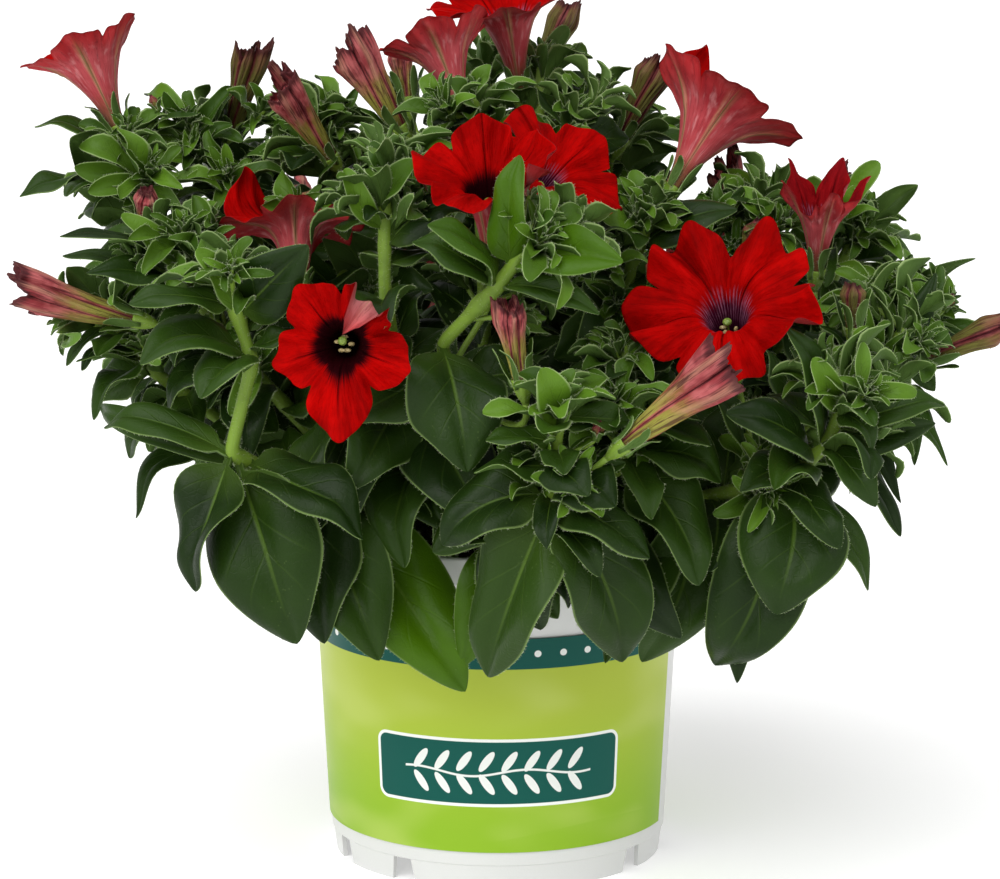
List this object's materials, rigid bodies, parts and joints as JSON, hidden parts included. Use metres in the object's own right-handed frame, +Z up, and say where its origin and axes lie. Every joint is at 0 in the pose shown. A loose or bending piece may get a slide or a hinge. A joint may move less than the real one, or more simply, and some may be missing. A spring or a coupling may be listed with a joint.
{
  "type": "potted petunia",
  "caption": "Bushy trailing petunia with red flowers and wilted buds, in a white plastic nursery pot with a green printed wrap label, standing on its foot ring.",
  "frame": {"origin": "on the pot's axis, at the ground, within 2 mm of the middle of the bounding box's underside", "axes": "+Z up along the pot's axis; -Y is the front, the side that the picture shows; +X is to the right in it"},
  "size_m": [0.3472, 0.3237, 0.3159],
  "materials": {
    "pot_plastic": "off-white, smooth and slightly glossy, moulded",
    "label_film": "glossy printed film, yellow-green fading to green",
    "potting_mix": "matt, coarse, dark peat and bark",
    "petal": "velvety scarlet, duller and pinker outside",
    "wilted_petal": "matt, pleated, faded to brown and dusty pink",
    "leaf_and_stem": "soft green with fine pale hairs"
  },
  "bodies": {
    "root": {"pot": "pot_plastic", "label_wrap": "label_film", "potting_soil": "potting_mix", "flower_01": "petal", "flower_02": "petal", "flower_03": "petal", "flower_04": "petal", "flower_05": "petal", "flower_06": "petal", "flower_07": "petal", "flower_08": "petal", "flower_09": "petal", "flower_10": "petal", "flower_11": "petal", "flower_12": "petal", "flower_13": "petal", "closed_flower_01": "wilted_petal", "closed_flower_02": "wilted_petal", "closed_flower_03": "wilted_petal", "closed_flower_04": "wilted_petal", "closed_flower_05": "wilted_petal", "closed_flower_06": "wilted_petal", "closed_flower_07": "wilted_petal", "closed_flower_08": "wilted_petal", "closed_flower_09": "wilted_petal", "closed_flower_10": "wilted_petal", "closed_flower_11": "wilted_petal", "closed_flower_12": "wilted_petal", "closed_flower_13": "wilted_petal", "closed_flower_14": "wilted_petal", "closed_flower_15": "wilted_petal", "leafy_shoot_01": "leaf_and_stem", "leafy_shoot_02": "leaf_and_stem", "leafy_shoot_03": "leaf_and_stem", "leafy_shoot_04": "leaf_and_stem", "leafy_shoot_05": "leaf_and_stem", "leafy_shoot_06": "leaf_and_stem", "leafy_shoot_07": "leaf_and_stem", "leafy_shoot_08": "leaf_and_stem", "leafy_shoot_09": "leaf_and_stem", "leafy_shoot_10": "leaf_and_stem", "leafy_shoot_11": "leaf_and_stem", "leafy_shoot_12": "leaf_and_stem", "leafy_shoot_13": "leaf_and_stem", "leafy_shoot_14": "leaf_and_stem", "leafy_shoot_15": "leaf_and_stem", "leafy_shoot_16": "leaf_and_stem", "leafy_shoot_17": "leaf_and_stem", "leafy_shoot_18": "leaf_and_stem", "leafy_shoot_19": "leaf_and_stem", "leafy_shoot_20": "leaf_and_stem", "leafy_shoot_21": "leaf_and_stem", "leafy_shoot_22": "leaf_and_stem", "leafy_shoot_23": "leaf_and_stem", "leafy_shoot_24": "leaf_and_stem", "leafy_shoot_25": "leaf_and_stem", "leafy_shoot_26": "leaf_and_stem", "leafy_shoot_27": "leaf_and_stem", "leafy_shoot_28": "leaf_and_stem", "leafy_shoot_29": "leaf_and_stem"}
  },
  "joints": []
}
